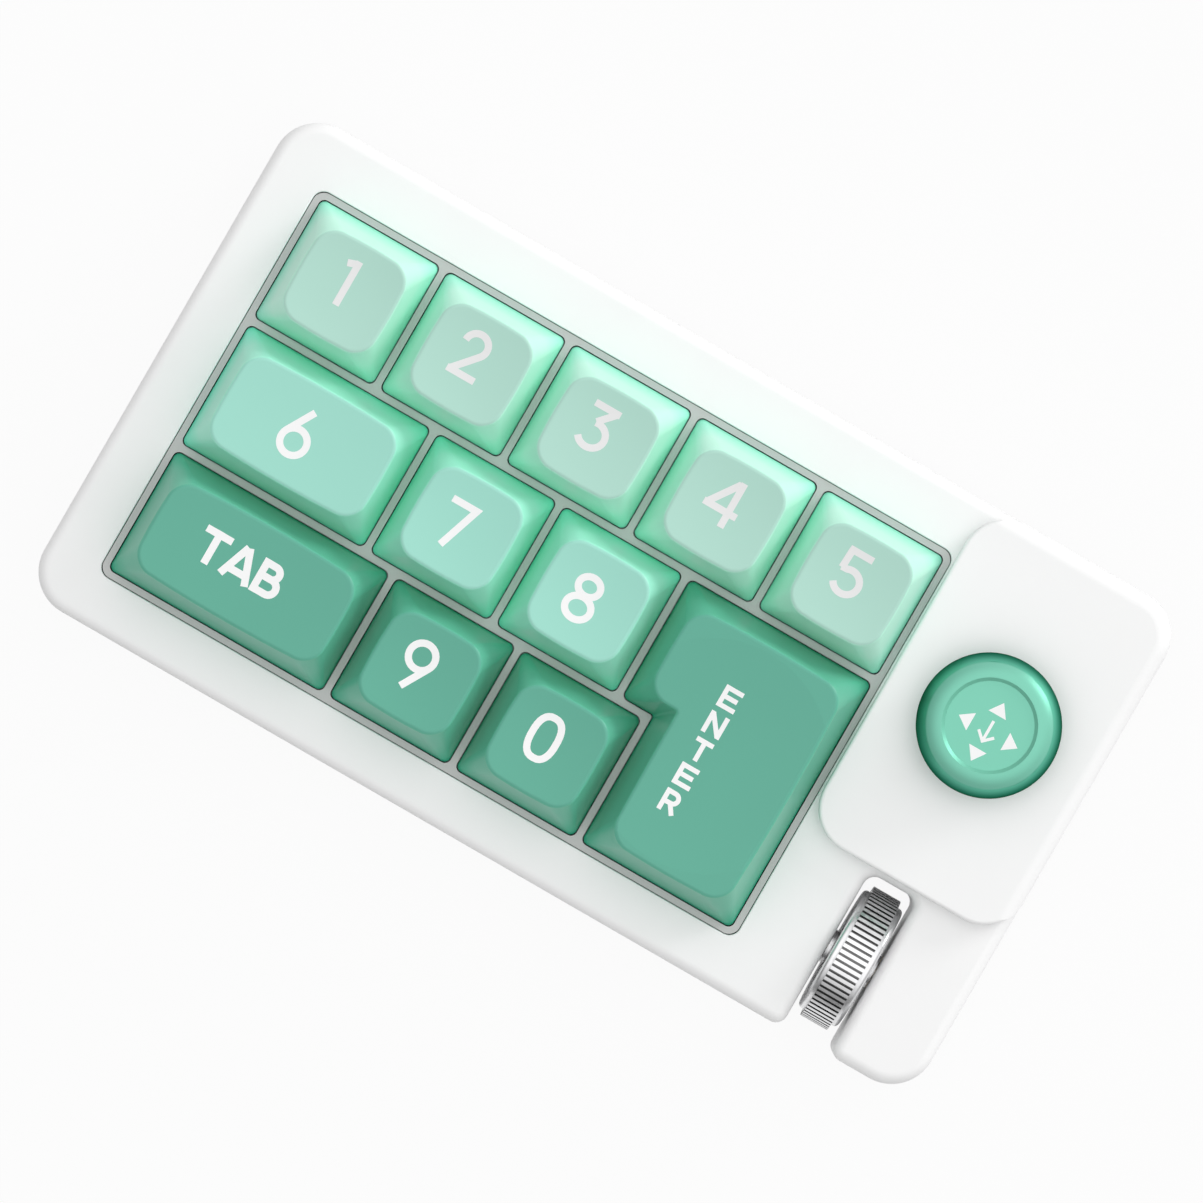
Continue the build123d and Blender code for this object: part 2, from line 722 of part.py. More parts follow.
def board_block(left, right, front, back):
    board = block(right - left, back - front, board_z, board_top)
    return Pos((left + right) / 2, (front + back) / 2, 0) * board


def main_board():
    left = well_x - well_width / 2 + BOARD_INSET
    front = well_y - well_depth / 2 + BOARD_INSET
    back = well_y + well_depth / 2 - BOARD_INSET
    slot_left = roller_x - slot_wall_width / 2 - BOARD_FROM_SLOT
    right = joystick_x + BOX_SIZE / 2 + BOARD_EDGE
    board = board_block(left, slot_left, front, back)
    board += board_block(left, right, slot_back + SLOT_WALL + BOARD_FROM_SLOT, back)
    port_edge = case_depth / 2 - WALL - BOARD_FROM_SLOT
    ledge = PORT_WIDTH / 2 + PORT_LEDGE
    board += board_block(joystick_x - ledge, joystick_x + ledge, joystick_y, port_edge)
    for x, y in key_places().values():
        board -= Pos(x, y, 0) * rod(POST_D + 2 * POST_GAP, board_z, board_top)
        for px, py in PIN_PLACES:
            board -= Pos(x + px, y + py, 0) * rod(PIN_D + 2 * PIN_GAP, board_z, board_top)
    channel = insert_channel(board_z, board_top)
    return board - [at_enter(part) for part in stabiliser_pair(channel)]


def board_chips():
    x = well_right + CHIPS[0][0] / 2
    solids = []
    for number, (width, depth, height) in enumerate(CHIPS):
        y = slot_back + (number + 0.5) * CHIP_SPACING
        solids.append(Pos(x, y, 0) * block(width, depth, board_top, board_top + height))
    return solids


def key_grid():
    top = plate_top + GRID_HEIGHT
    grid = rounded_block(well_width - 2 * GRID_GAP, well_depth - 2 * GRID_GAP, WELL_CORNER, plate_top, top)
    grid = Pos(well_x, well_y, 0) * grid
    for key, (x, y) in key_places().items():
        cell = key_outline(key, -CELL_GAP, -CELL_GAP, -CELL_GAP, CAP_BASE_CORNER)
        grid -= Pos(x, y, 0) * prism(cell, plate_top, top)
    return grid


# Cable socket
def port_prism(gap, front, back):
    width, height = PORT_WIDTH + 2 * gap, PORT_HEIGHT + 2 * gap
    face = Plane.XZ * RectangleRounded(width, height, PORT_CORNER + gap)
    tube = extrude(face, back - front, dir=(0, 1, 0))
    return Pos(joystick_x, front, board_top + PORT_HEIGHT / 2) * tube


def port_ends():
    mouth = case_depth / 2 - PORT_SUNK
    return mouth - PORT_LENGTH, mouth


def port_shell():
    front, back = port_ends()
    return port_prism(0, front, back) - port_prism(-PORT_WALL, front, back)


def port_tongue():
    front, back = port_ends()
    body = port_prism(-PORT_WALL, front, front + PORT_BACK)
    length = back - PORT_TONGUE_SUNK - front
    middle = board_top + PORT_HEIGHT / 2
    blade = block(PORT_TONGUE_W, length, middle - PORT_TONGUE_T / 2, middle + PORT_TONGUE_T / 2)
    return body + Pos(joystick_x, front + length / 2, 0) * blade


# Roller, about the middle of its slot
def at_roller(solid):
    return Pos(roller_x, roller_y, 0) * solid


def roller_wheel():
    groove = Rectangle(2 * KNURL_DEPTH, KNURL_WIDTH)
    ring = Circle(WHEEL_D / 2) - [place * groove for place in PolarLocations(WHEEL_D / 2, KNURLS)]
    band = Pos(0, 0, -WHEEL_BAND / 2) * extrude(ring, WHEEL_BAND)
    rim = Cylinder(WHEEL_RIM_D / 2, WHEEL_WIDTH)
    rim = fillet(rim.edges().filter_by(GeomType.CIRCLE), WHEEL_ROUND)
    hub = Cylinder(HUB_D / 2, SLOT_WIDTH - 2 * HUB_GAP)
    wheel = band + rim + hub - Cylinder(AXLE_D / 2, SLOT_WIDTH)
    return at_roller(Pos(0, 0, axle_z) * Rot(0, 90, 0) * wheel)


def encoder_right():
    return -slot_wall_width / 2 - BUSH_FLANGE - ENCODER_GAP


def roller_axle():
    left = encoder_right() - ENCODER_T
    right = slot_wall_width / 2 + BUSH_FLANGE + AXLE_BEYOND
    return at_roller(rod_along_x(AXLE_D, left, right, axle_z))


def roller_bushes():
    inner, outer = SLOT_WIDTH / 2, slot_wall_width / 2
    bush = rod_along_x(BUSH_D, inner, outer, axle_z)
    bush += rod_along_x(BUSH_FLANGE_D, outer, outer + BUSH_FLANGE, axle_z)
    bush -= rod_along_x(AXLE_D + 2 * RUNNING_GAP, inner, outer + BUSH_FLANGE, axle_z)
    return [at_roller(bush), at_roller(mirror(bush, Plane.YZ))]


def encoder_body():
    right = encoder_right()
    body = block(ENCODER_T, ENCODER_DEPTH, board_top, board_top + ENCODER_HEIGHT)
    body = Pos(right - ENCODER_T / 2, 0, 0) * body
    return at_roller(body - rod_along_x(ROTOR_D + 2 * ROTOR_GAP, right - ENCODER_T, right, axle_z))


def encoder_rotor():
    right = encoder_right() - (ENCODER_T - ROTOR_T) / 2
    rotor = rod_along_x(ROTOR_D, right - ROTOR_T, right, axle_z)
    return at_roller(rotor - rod_along_x(AXLE_D, right - ROTOR_T, right, axle_z))


# Joystick, about its own middle
def at_joystick(solid):
    return Pos(joystick_x, joystick_y, 0) * solid


def joystick_knob():
    side_z = knob_z + KNOB_SIDE
    crest_z = side_z + KNOB_RISE
    disc_z = crest_z - KNOB_STEP
    rim, crest, disc = KNOB_D / 2, KNOB_CREST_D / 2, KNOB_DISC_D / 2
    lower, hub = knob_z - KNOB_HUB, KNOB_HUB_D / 2
    edge, brow = (rim, 0, knob_z + KNOB_BEVEL), (crest, 0, side_z)
    inner = (disc + KNOB_STEP_WIDTH, 0, crest_z)
    knob = turned(
        Polyline((0, 0, lower), (hub, 0, lower), (hub, 0, knob_z), (rim - KNOB_BEVEL, 0, knob_z), edge),
        bowed(edge, brow, KNOB_SIDE_BOW),
        bowed(brow, inner, KNOB_RING_BOW),
        Polyline(inner, (disc, 0, disc_z), (0, 0, disc_z), (0, 0, lower)),
    )
    brow_edge = [e for e in knob.edges().filter_by(GeomType.CIRCLE) if abs(e.radius - crest) < NEAR]
    knob = fillet(brow_edge, KNOB_BROW_ROUND)
    knob -= rod(SHAFT_D + 2 * SHAFT_GAP, lower, knob_z + PRESS + SHAFT_GAP)
    return at_joystick(knob - rod(PLUNGER_D, knob_z, plunger_top()))


def plunger_top():
    return knob_z + PLUNGER_GRIP


def joystick_plunger():
    return at_joystick(rod(PLUNGER_D, tip_z, plunger_top()))


def joystick_stick():
    stick = rod(SHAFT_D, tail_z, knob_z)
    stick += Pos(0, 0, pivot_z) * Sphere(HUB_BALL_D / 2)
    stick += rod(TAIL_FLANGE_D, tail_z, tail_z + TAIL_FLANGE)
    reach = RING_OUTER_D / 2 - PIVOT_PIN_END
    stick += rod_along_y(PIVOT_PIN_D, -reach, reach, pivot_z)
    return at_joystick(stick - rod(PLUNGER_D + 2 * SHAFT_GAP, tail_z, knob_z))


def joystick_dome():
    outer, inner = DOME_D / 2, DOME_D / 2 - DOME_T
    edge = math.radians(DOME_ANGLE)

    def point(radius, angle):
        return (radius * math.sin(angle), 0, pivot_z + radius * math.cos(angle))

    def arc(radius):
        start = math.asin(SHAFT_D / 2 / radius)
        return ThreePointArc(point(radius, start), point(radius, (start + edge) / 2), point(radius, edge))

    above, below = arc(outer), arc(inner)
    return at_joystick(turned(above, Line(above @ 1, below @ 1), below, Line(below @ 0, above @ 0)))


def gimbal_ring():
    bottom, top = pivot_z - RING_HEIGHT / 2, pivot_z + RING_HEIGHT / 2
    reach = BOX_SIZE / 2 - PIVOT_PIN_END
    ring = rod(RING_OUTER_D, bottom, top) + rod_along_x(PIVOT_PIN_D, -reach, reach, pivot_z)
    ring -= rod(RING_INNER_D, bottom, top)
    half = RING_OUTER_D / 2
    return at_joystick(ring - rod_along_y(PIVOT_PIN_D + 2 * RUNNING_GAP, -half, half, pivot_z))


def joystick_box():
    inside = BOX_SIZE - 2 * BOX_WALL
    top = pivot_z + BOX_ABOVE_PIVOT
    box = block(BOX_SIZE, BOX_SIZE, board_top, top) - block(inside, inside, box_floor_z, top)
    half = BOX_SIZE / 2
    return at_joystick(box - rod_along_x(PIVOT_PIN_D + 2 * RUNNING_GAP, -half, half, pivot_z))


def centring_spring():
    return at_joystick(coil(CENTRING_D, CENTRING_WIRE, CENTRING_TURNS, box_floor_z, tail_z))


def push_switch():
    body = block(PUSH_SWITCH, PUSH_SWITCH, box_floor_z, box_floor_z + PUSH_SWITCH_T)
    return at_joystick(body + rod(BUTTON_D, box_floor_z, tip_z - PRESS - BUTTON_GAP))


def direction_contacts():
    contact = rod(CONTACT_D, box_floor_z, box_floor_z + CONTACT_HEIGHT)
    return [at_joystick(place * contact) for place in PolarLocations(CONTACT_RADIUS, 4)]


def at_every_switch(solid):
    return group(Pos(x, y, 0) * solid for x, y in key_places().values())


parts = {
    "top_case": top_case(),
    "bottom_case": bottom_case(),
    "rubber_feet": group(Pos(x, y, 0) * rubber_foot() for x, y in foot_places()),
    "case_screws": group(Pos(x, y, 0) * case_screw() for x, y in clamp_screws() + side_screws()),
    "key_grid": key_grid(),
    "switch_plate": switch_plate(),
    "main_board": main_board(),
    "board_chips": group(board_chips()),
    "port_shell": port_shell(),
    "port_tongue": port_tongue(),
    "switch_lower_housings": at_every_switch(switch_lower_housing()),
    "switch_upper_housings": at_every_switch(switch_upper_housing()),
    "switch_springs": at_every_switch(switch_spring()),
    "switch_sockets": at_every_switch(switch_socket()),
    "switch_pins": group(Pos(x, y, 0) * pin for x, y in key_places().values() for pin in switch_pins()),
    "stabiliser_housings": group(at_enter(part) for part in stabiliser_pair(stabiliser_housing())),
    "stabiliser_inserts": group(at_enter(part) for part in stabiliser_pair(stabiliser_insert())),
    "stabiliser_wire": at_enter(stabiliser_wire()),
    "roller_wheel": roller_wheel(),
    "roller_axle": roller_axle(),
    "roller_bushes": group(roller_bushes()),
    "encoder_body": encoder_body(),
    "encoder_rotor": encoder_rotor(),
    "joystick_knob": joystick_knob(),
    "joystick_plunger": joystick_plunger(),
    "joystick_stick": joystick_stick(),
    "joystick_dome": joystick_dome(),
    "gimbal_ring": gimbal_ring(),
    "joystick_box": joystick_box(),
    "centring_spring": centring_spring(),
    "push_switch": push_switch(),
    "direction_contacts": group(direction_contacts()),
}
for key, (x, y) in key_places().items():
    parts["keycap_" + key] = Pos(x, y, 0) * keycap(key)
    parts["stem_" + key] = Pos(x, y, 0) * stem()

os.makedirs("parts", exist_ok=True)
for name, part in parts.items():
    export_step(part, f"parts/{name}.step")
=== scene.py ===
import json
import math

import bmesh
import bpy
import numpy as np
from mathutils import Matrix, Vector
from mathutils.bvhtree import BVHTree
from mathutils.geometry import delaunay_2d_cdt


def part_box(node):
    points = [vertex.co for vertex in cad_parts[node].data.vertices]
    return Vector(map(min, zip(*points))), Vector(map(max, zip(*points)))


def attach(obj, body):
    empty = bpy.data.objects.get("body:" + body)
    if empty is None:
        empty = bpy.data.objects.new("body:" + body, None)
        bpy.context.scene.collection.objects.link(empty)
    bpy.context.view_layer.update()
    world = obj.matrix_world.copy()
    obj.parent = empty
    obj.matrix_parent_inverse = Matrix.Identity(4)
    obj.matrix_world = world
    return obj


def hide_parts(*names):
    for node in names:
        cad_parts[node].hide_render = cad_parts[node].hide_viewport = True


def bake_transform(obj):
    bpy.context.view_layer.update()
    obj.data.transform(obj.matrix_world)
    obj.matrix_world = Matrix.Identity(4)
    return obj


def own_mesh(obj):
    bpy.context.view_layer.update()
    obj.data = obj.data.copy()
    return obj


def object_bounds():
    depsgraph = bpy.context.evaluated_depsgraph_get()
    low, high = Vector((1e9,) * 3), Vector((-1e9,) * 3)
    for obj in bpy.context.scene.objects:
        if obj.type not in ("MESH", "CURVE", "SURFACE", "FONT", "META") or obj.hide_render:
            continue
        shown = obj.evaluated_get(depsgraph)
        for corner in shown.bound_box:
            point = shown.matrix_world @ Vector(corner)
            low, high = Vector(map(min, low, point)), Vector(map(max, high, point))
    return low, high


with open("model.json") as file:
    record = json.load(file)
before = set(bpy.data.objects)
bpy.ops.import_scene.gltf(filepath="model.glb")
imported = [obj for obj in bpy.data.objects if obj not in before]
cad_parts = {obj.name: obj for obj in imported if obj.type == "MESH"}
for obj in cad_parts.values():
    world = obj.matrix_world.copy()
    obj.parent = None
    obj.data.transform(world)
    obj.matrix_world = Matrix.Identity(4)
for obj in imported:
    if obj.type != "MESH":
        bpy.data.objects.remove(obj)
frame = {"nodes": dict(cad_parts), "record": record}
cad_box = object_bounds()
nodes = frame["nodes"]
MM = 0.001
DOWN = Vector((0.0, 0.0, -1.0))

# Camera, straight above, with the keypad turned in the picture
CAMERA_TURN = 30.0            # degrees
CAMERA_HEIGHT = 1.5           # metres above the floor
CAMERA_PLACE = (-0.46, 0.03)  # mm in plan
CAMERA_REACH = 10.0           # metres that it sees
VIEW_WIDTH = 157.5            # mm across the picture at the height of the deck
DECK_HEIGHT = 19.0            # mm
SENSOR = 36.0                 # mm

# Light
LIGHT_TURN = 60.0             # degrees from the keypad's right towards its back
LIGHT_RISE = 11.0             # degrees above the floor
LAMP_SPREAD = 25.0            # degrees across
LAMP_STRENGTH = 1.35
SKY_DARK = 0.17               # strength of the sky away from the lamp
SKY_BRIGHT = 0.62             # and around it
SKY_TOP = 0.98                # added overhead
SKY_TOP_BAND = (0.4, 0.95)    # upward part of a direction, where that starts and where it is full

# Floor
FLOOR_REACH = 4.0             # metres from its middle to each side
FLOOR_PAINT = 0.65            # how pale it is in the light that it throws back at the object
FLOOR_GLOW = 0.93             # share of its white, as seen, that the shadow can't dim

# Patterns of the materials, in repeats per metre, and the depths of their grain in metres
NOISE_BAND = (0.3, 0.7)       # values between which a noise pattern is stretched to its full range
PLASTIC_CLOUDS = 70.0
PLASTIC_WEAR = 420.0
PLASTIC_GRAIN = 2400.0
PLASTIC_DEPTH = 0.000002
RUBBER_GRAIN = 1200.0
RUBBER_DEPTH = 0.00001
METAL_CLOUDS = 160.0
METAL_WEAR = 700.0
METAL_GRAIN = 900.0
METAL_DEPTH = 0.000003
SMOOTH_DEPTH = 0.0000001
WEAR_DETAIL = 4.0             # octaves
GRAIN_DETAIL = 3.0            # octaves
SMOOTH_CHANGE = 0.008         # by which smooth plastic varies in colour and roughness
METAL_DULL = 0.93             # share of its colour that metal has where it is darkest
METAL_CHANGE = 0.3            # share by which its roughness varies

# Finishes
CAP_ROUGHNESS = 0.3
CAP_SHINE = 0.25
CAP_LIT_WALL_BAND = (0.55, 0.9)   # upward part of a face's direction, over which the painted light on the walls fades out towards the top
CAP_FOOT_SHADE = 5.0                # mm over which painted shade and bounced green light deepen a keycap's colour towards its foot
KNOB_ROUGHNESS = 0.42
KNOB_SHINE = 0.04
KNOB_PEARL = 0.35             # metallic share of the knob's top
KNOB_SIDE_PEARL = 0.85        # and of its side
KNOB_BROW = (8.2, 8.4)        # mm from the knob's middle, where its top gives way to its side
KNOB_SHADE_BAND = (8.5, 9.5)        # where painted shade darkens the side towards its outer edge
ROLLER_ROUGHNESS = 0.3
GROOVE_SIDE = 0.08            # mm below the roller's crests, where the painted shade in its grooves is full
GROOVE_FLOOR = 0.5            # where the painted shade starts to fade
GROOVE_BOTTOM = 0.7           # and where it ends

# Springs, in mm
SPRING_REACH = 3.0            # wider than a spring, narrower than the way to the next
STICK_SPRING_WIRE = 0.4
STICK_SPRING_TURNS = 3
WELD = 0.0001                 # points nearer than this become one

# Legends, in mm
DIGIT_STROKE = 0.95
LETTER_STROKE = 0.205         # of the letter's height
LEGEND_PROUD = 0.012
LEGEND_SUNK = 0.08
STROKE_STEP = 0.5             # longest piece of a stroke
ARC_STEP = 12.0               # degrees
SAME_POINT = 1e-6
FILL_TOLERANCE = 1e-4
FILL_INSIDE = 1               # delaunay_2d_cdt's number for keeping what lies inside the outlines
MITRE_LIMIT = 0.3             # least cosine at a corner, so that its point stays short
RAY_HEIGHT = 100.0            # above everything

# Places of the legends, from the middles of their keycaps, and the rows' inks
ROWS = {"12345": (-0.7, 0.86, "legend_grey"), "678": (-0.8, -0.25, "legend_white"),
        "90": (-0.85, 0.5, "legend_white")}
TAB_SHIFT = (-1.13, 0.41)
TAB_HEIGHT, TAB_STEP = 4.8, 4.25
ENTER_SHIFT = (-1.45, -0.27)
ENTER_HEIGHT, ENTER_STEP = 3.1, -3.86

# Direction marks, from the middle of the joystick, each with the degrees that it is turned by
MARK_BASE, MARK_HEIGHT = 2.6, 1.83
MARK_PLACES = {"back": (0.16, 2.6, 90.0), "front": (0.16, -4.25, -90.0),
               "left": (-3.27, -0.75, 180.0), "right": (3.7, -0.75, 0.0)}
ARROW = [[(0.16, 0.8), (0.16, -2.1)], [(-1.0, -1.1), (0.16, -2.2), (1.32, -1.1)]]
ARROW_STROKE = 0.4


# Camera

def make_camera():
    data = bpy.data.cameras.new("camera")
    data.sensor_width = SENSOR
    data.lens = SENSOR * (CAMERA_HEIGHT - DECK_HEIGHT * MM) / (VIEW_WIDTH * MM)
    data.clip_end = CAMERA_REACH
    camera = bpy.data.objects.new("camera", data)
    camera.location = (CAMERA_PLACE[0] * MM, CAMERA_PLACE[1] * MM, CAMERA_HEIGHT)
    camera.rotation_euler = (0.0, 0.0, math.radians(CAMERA_TURN))
    bpy.context.scene.collection.objects.link(camera)
    bpy.context.scene.camera = camera


# Steps that materials and the sky are made of

def place(tree):
    return tree.nodes.new("ShaderNodeTexCoord").outputs["Object"]


def noise(tree, scale, detail=2.0):
    texture = tree.nodes.new("ShaderNodeTexNoise")
    texture.inputs["Scale"].default_value = scale
    texture.inputs["Detail"].default_value = detail
    tree.links.new(place(tree), texture.inputs["Vector"])
    return texture.outputs["Fac"]


def spread(tree, value, low, high, band=NOISE_BAND):
    """Goes from low to high as the value crosses the band."""
    ramp = tree.nodes.new("ShaderNodeMapRange")
    ramp.inputs["From Min"].default_value = band[0]
    ramp.inputs["From Max"].default_value = band[1]
    ramp.inputs["To Min"].default_value = low
    ramp.inputs["To Max"].default_value = high
    tree.links.new(value, ramp.inputs["Value"])
    return ramp.outputs["Result"]


def number_step(tree, operation, first, second):
    step = tree.nodes.new("ShaderNodeMath")
    step.operation = operation
    tree.links.new(first, step.inputs[0])
    tree.links.new(second, step.inputs[1])
    return step.outputs["Value"]


def vector_step(tree, operation, vector, other, output="Vector"):
    step = tree.nodes.new("ShaderNodeVectorMath")
    step.operation = operation
    step.inputs[1].default_value = other
    tree.links.new(vector, step.inputs[0])
    return step.outputs[output]


def upward_part(tree, vector):
    return vector_step(tree, "DOT_PRODUCT", vector, (0.0, 0.0, 1.0), "Value")


def distance_from(tree, node, across):
    """Distance from a node's middle, across two of the three axes."""
    low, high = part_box(node)
    away = vector_step(tree, "SUBTRACT", place(tree), (low + high) / 2)
    flat = vector_step(tree, "MULTIPLY", away, across)
    return vector_step(tree, "LENGTH", flat, (0.0, 0.0, 0.0), "Value")


def mix_towards(tree, share, colour):
    """A mix that goes to a colour as share goes from 0 to 1. What it starts from is still to be set."""
    mix = tree.nodes.new("ShaderNodeMix")
    mix.data_type = "RGBA"
    mix.inputs["B"].default_value = (*colour, 1.0)
    tree.links.new(share, mix.inputs["Factor"])
    return mix


def blend_colours(tree, share, first, second):
    mix = mix_towards(tree, share, second)
    mix.inputs["A"].default_value = (*first, 1.0)
    return mix.outputs["Result"]


def tinted(colour, shares):
    return tuple(min(1.0, c * s) for c, s in zip(colour, shares))


def shade(colour, factor):
    return tinted(colour, (factor, factor, factor))


# Materials

def shader_of(material):
    return material.node_tree.nodes["Principled BSDF"]


def new_material(name):
    material = bpy.data.materials.new(name)
    material.use_nodes = True
    return material, material.node_tree, shader_of(material)


def two_tone(material, share, colour):
    """Lets a second colour take over as share goes from 0 to 1."""
    tree = material.node_tree
    base = shader_of(material).inputs["Base Color"]
    mix = mix_towards(tree, share, colour)
    tree.links.new(base.links[0].from_socket, mix.inputs["A"])
    tree.links.new(mix.outputs["Result"], base)


def add_bump(tree, shader, height, depth):
    bump = tree.nodes.new("ShaderNodeBump")
    bump.inputs["Strength"].default_value = 1.0
    bump.inputs["Distance"].default_value = depth
    tree.links.new(height, bump.inputs["Height"])
    tree.links.new(bump.outputs["Normal"], shader.inputs["Normal"])


def moulded(name, colour, roughness, grain=PLASTIC_GRAIN, depth=PLASTIC_DEPTH, mottle=0.02, wear=0.05):
    material, tree, shader = new_material(name)
    clouds = spread(tree, noise(tree, PLASTIC_CLOUDS), 0.0, 1.0)
    tint = blend_colours(tree, clouds, shade(colour, 1.0 - mottle), shade(colour, 1.0 + mottle))
    tree.links.new(tint, shader.inputs["Base Color"])
    worn = spread(tree, noise(tree, PLASTIC_WEAR, WEAR_DETAIL), roughness - wear, roughness + wear)
    tree.links.new(worn, shader.inputs["Roughness"])
    add_bump(tree, shader, noise(tree, grain, GRAIN_DETAIL), depth)
    return material


def smooth(name, colour, roughness, shine):
    material = moulded(name, colour, roughness, depth=SMOOTH_DEPTH,
                       mottle=SMOOTH_CHANGE, wear=SMOOTH_CHANGE)
    shader_of(material).inputs["Specular IOR Level"].default_value = shine
    return material


def keycap_material(name, colour, lit_wall_tint, foot):
    """Satin plastic whose walls are painted paler than its top face, as painted light, and whose colour
    deepens towards the cap's foot, as painted shade and bounced green light.

    The wall and foot tints say how strong the colour's red, green and blue are in the painted wall light
    and in the painted shade at the foot.
    """
    material = smooth(name, colour, CAP_ROUGHNESS, CAP_SHINE)
    tree = material.node_tree
    normal = tree.nodes.new("ShaderNodeNewGeometry").outputs["Normal"]
    # painted light: the walls are paler than the top face, by the way they face
    painted_wall_light = spread(tree, upward_part(tree, normal), 1.0, 0.0, CAP_LIT_WALL_BAND)
    two_tone(material, painted_wall_light, tinted(colour, lit_wall_tint))
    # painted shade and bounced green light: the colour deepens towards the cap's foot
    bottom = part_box("keycap_1")[0].z
    depth = spread(tree, upward_part(tree, place(tree)), 1.0, 0.0, (bottom, bottom + CAP_FOOT_SHADE * MM))
    two_tone(material, depth, tinted(colour, foot))
    return material


def knob_material(name, colour, side, edge):
    """Pearly plastic with a darker green side, which painted shade darkens further outwards."""
    material = smooth(name, colour, KNOB_ROUGHNESS, KNOB_SHINE)
    tree = material.node_tree
    radius = distance_from(tree, "joystick_knob", (1.0, 1.0, 0.0))

    def across(low, high, band):
        return spread(tree, radius, low, high, (band[0] * MM, band[1] * MM))

    # the side's darker green, partly its own colour and partly painted shade
    two_tone(material, across(0.0, 1.0, KNOB_BROW), side)
    # painted shade: the side darkens towards its outer edge
    two_tone(material, across(0.0, 1.0, KNOB_SHADE_BAND), edge)
    shader = shader_of(material)
    shader.inputs["Specular Tint"].default_value = (*side, 1.0)
    tree.links.new(across(KNOB_PEARL, KNOB_SIDE_PEARL, KNOB_BROW), shader.inputs["Metallic"])
    return material


def metal(name, colour, roughness, depth=METAL_DEPTH):
    material, tree, shader = new_material(name)
    shader.inputs["Metallic"].default_value = 1.0
    clouds = spread(tree, noise(tree, METAL_CLOUDS), 0.0, 1.0)
    tint = blend_colours(tree, clouds, shade(colour, METAL_DULL), colour)
    tree.links.new(tint, shader.inputs["Base Color"])
    least, most = roughness * (1.0 - METAL_CHANGE), roughness * (1.0 + METAL_CHANGE)
    worn = spread(tree, noise(tree, METAL_WEAR, WEAR_DETAIL), least, most)
    tree.links.new(worn, shader.inputs["Roughness"])
    add_bump(tree, shader, noise(tree, METAL_GRAIN, GRAIN_DETAIL), depth)
    return material


def roller_material(name, colour, groove_shade):
    """Bright plating, with painted shade in the grooves between the knurls."""
    material = metal(name, colour, ROLLER_ROUGHNESS, depth=SMOOTH_DEPTH)
    tree = material.node_tree
    radius = distance_from(tree, "roller_wheel", (0.0, 1.0, 1.0))
    low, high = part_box("roller_wheel")
    crest = (high.z - low.z) / 2
    below = spread(tree, radius, 1.0, 0.0, (crest - GROOVE_SIDE * MM, crest))
    above = spread(tree, radius, 0.0, 1.0, (crest - GROOVE_BOTTOM * MM, crest - GROOVE_FLOOR * MM))
    # painted shade in the grooves
    two_tone(material, number_step(tree, "MULTIPLY", below, above), groove_shade)
    return material


def make_materials():
    return {
        "shell_white": moulded("shell_white", (0.89, 0.89, 0.89), 0.42, mottle=0.005),
        "cap_pale": keycap_material(
            "cap_pale", (0.42, 0.68, 0.585), lit_wall_tint=(1.28, 1.36, 1.3), foot=(0.75, 1.36, 1.18)),
        "cap_light": keycap_material(
            "cap_light", (0.335, 0.69, 0.58), lit_wall_tint=(1.15, 1.26, 1.18), foot=(0.52, 1.34, 1.1)),
        "cap_green": keycap_material(
            "cap_green", (0.115, 0.405, 0.3), lit_wall_tint=(1.15, 1.22, 1.15), foot=(0.38, 1.15, 0.93)),
        # edge: the painted shade at the knob's outer edge
        "knob_mint": knob_material(
            "knob_mint", (0.215, 0.585, 0.445), side=(0.14, 0.5, 0.36), edge=(0.01, 0.1, 0.058)),
        "lattice_grey": moulded("lattice_grey", (0.53, 0.53, 0.525), 0.5),
        "switch_black": moulded("switch_black", (0.03, 0.03, 0.032), 0.45),
        "stem_green": moulded("stem_green", (0.12, 0.35, 0.27), 0.4),
        "roller_chrome": roller_material("roller_chrome", (0.81, 0.81, 0.82), groove_shade=(0.14, 0.14, 0.14)),
        "steel": metal("steel", (0.56, 0.56, 0.57), 0.3),
        "brass": metal("brass", (0.72, 0.52, 0.2), 0.3),
        "board_green": moulded("board_green", (0.02, 0.09, 0.04), 0.35, mottle=0.15),
        "plate_grey": metal("plate_grey", (0.5, 0.5, 0.51), 0.45),
        "foot_rubber": moulded("foot_rubber", (0.05, 0.05, 0.05), 0.75, RUBBER_GRAIN, RUBBER_DEPTH),
        "legend_grey": moulded("legend_grey", (0.78, 0.78, 0.78), 0.5, mottle=0.015),
        "legend_white": moulded("legend_white", (0.9, 0.9, 0.9), 0.5, mottle=0.015),
    }


def dress_nodes(materials):
    for part in frame["record"]["subparts"]:
        node = nodes[part["node"]]
        if not node.material_slots:
            node.data.materials.append(None)
        for slot in node.material_slots:
            slot.material = materials[part["material_slot"]]


# Pieces

def new_piece(name, mesh, material):
    data = bpy.data.meshes.new(name)
    mesh.to_mesh(data)
    mesh.free()
    data.materials.append(material)
    piece = bpy.data.objects.new(name, data)
    bpy.context.scene.collection.objects.link(piece)
    return piece


def middle_of(node):
    """A node's middle in plan, in mm."""
    low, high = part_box(node)
    return (low.x + high.x) / 2 / MM, (low.y + high.y) / 2 / MM


# Strokes of the legends, about their own middles, in mm

def oval(x, y, radius_x, radius_y, start=90.0, sweep=-360.0):
    steps = max(4, round(abs(sweep) / ARC_STEP))
    angles = [math.radians(start + sweep * i / steps) for i in range(steps + 1)]
    return [(x + radius_x * math.cos(a), y + radius_y * math.sin(a)) for a in angles]


def squared_oval(radius_x, radius_y, power):
    def pull(value):
        return math.copysign(abs(value) ** (2.0 / power), value)

    return [(radius_x * pull(x), radius_y * pull(y)) for x, y in oval(0.0, 0.0, 1.0, 1.0)]


def upside_down(strokes):
    return [[(-x, -y) for x, y in stroke] for stroke in strokes]


SIX = [oval(0.0, -1.21, 1.8, 1.8), [(0.62, 3.47), (-1.56, -0.31)]]

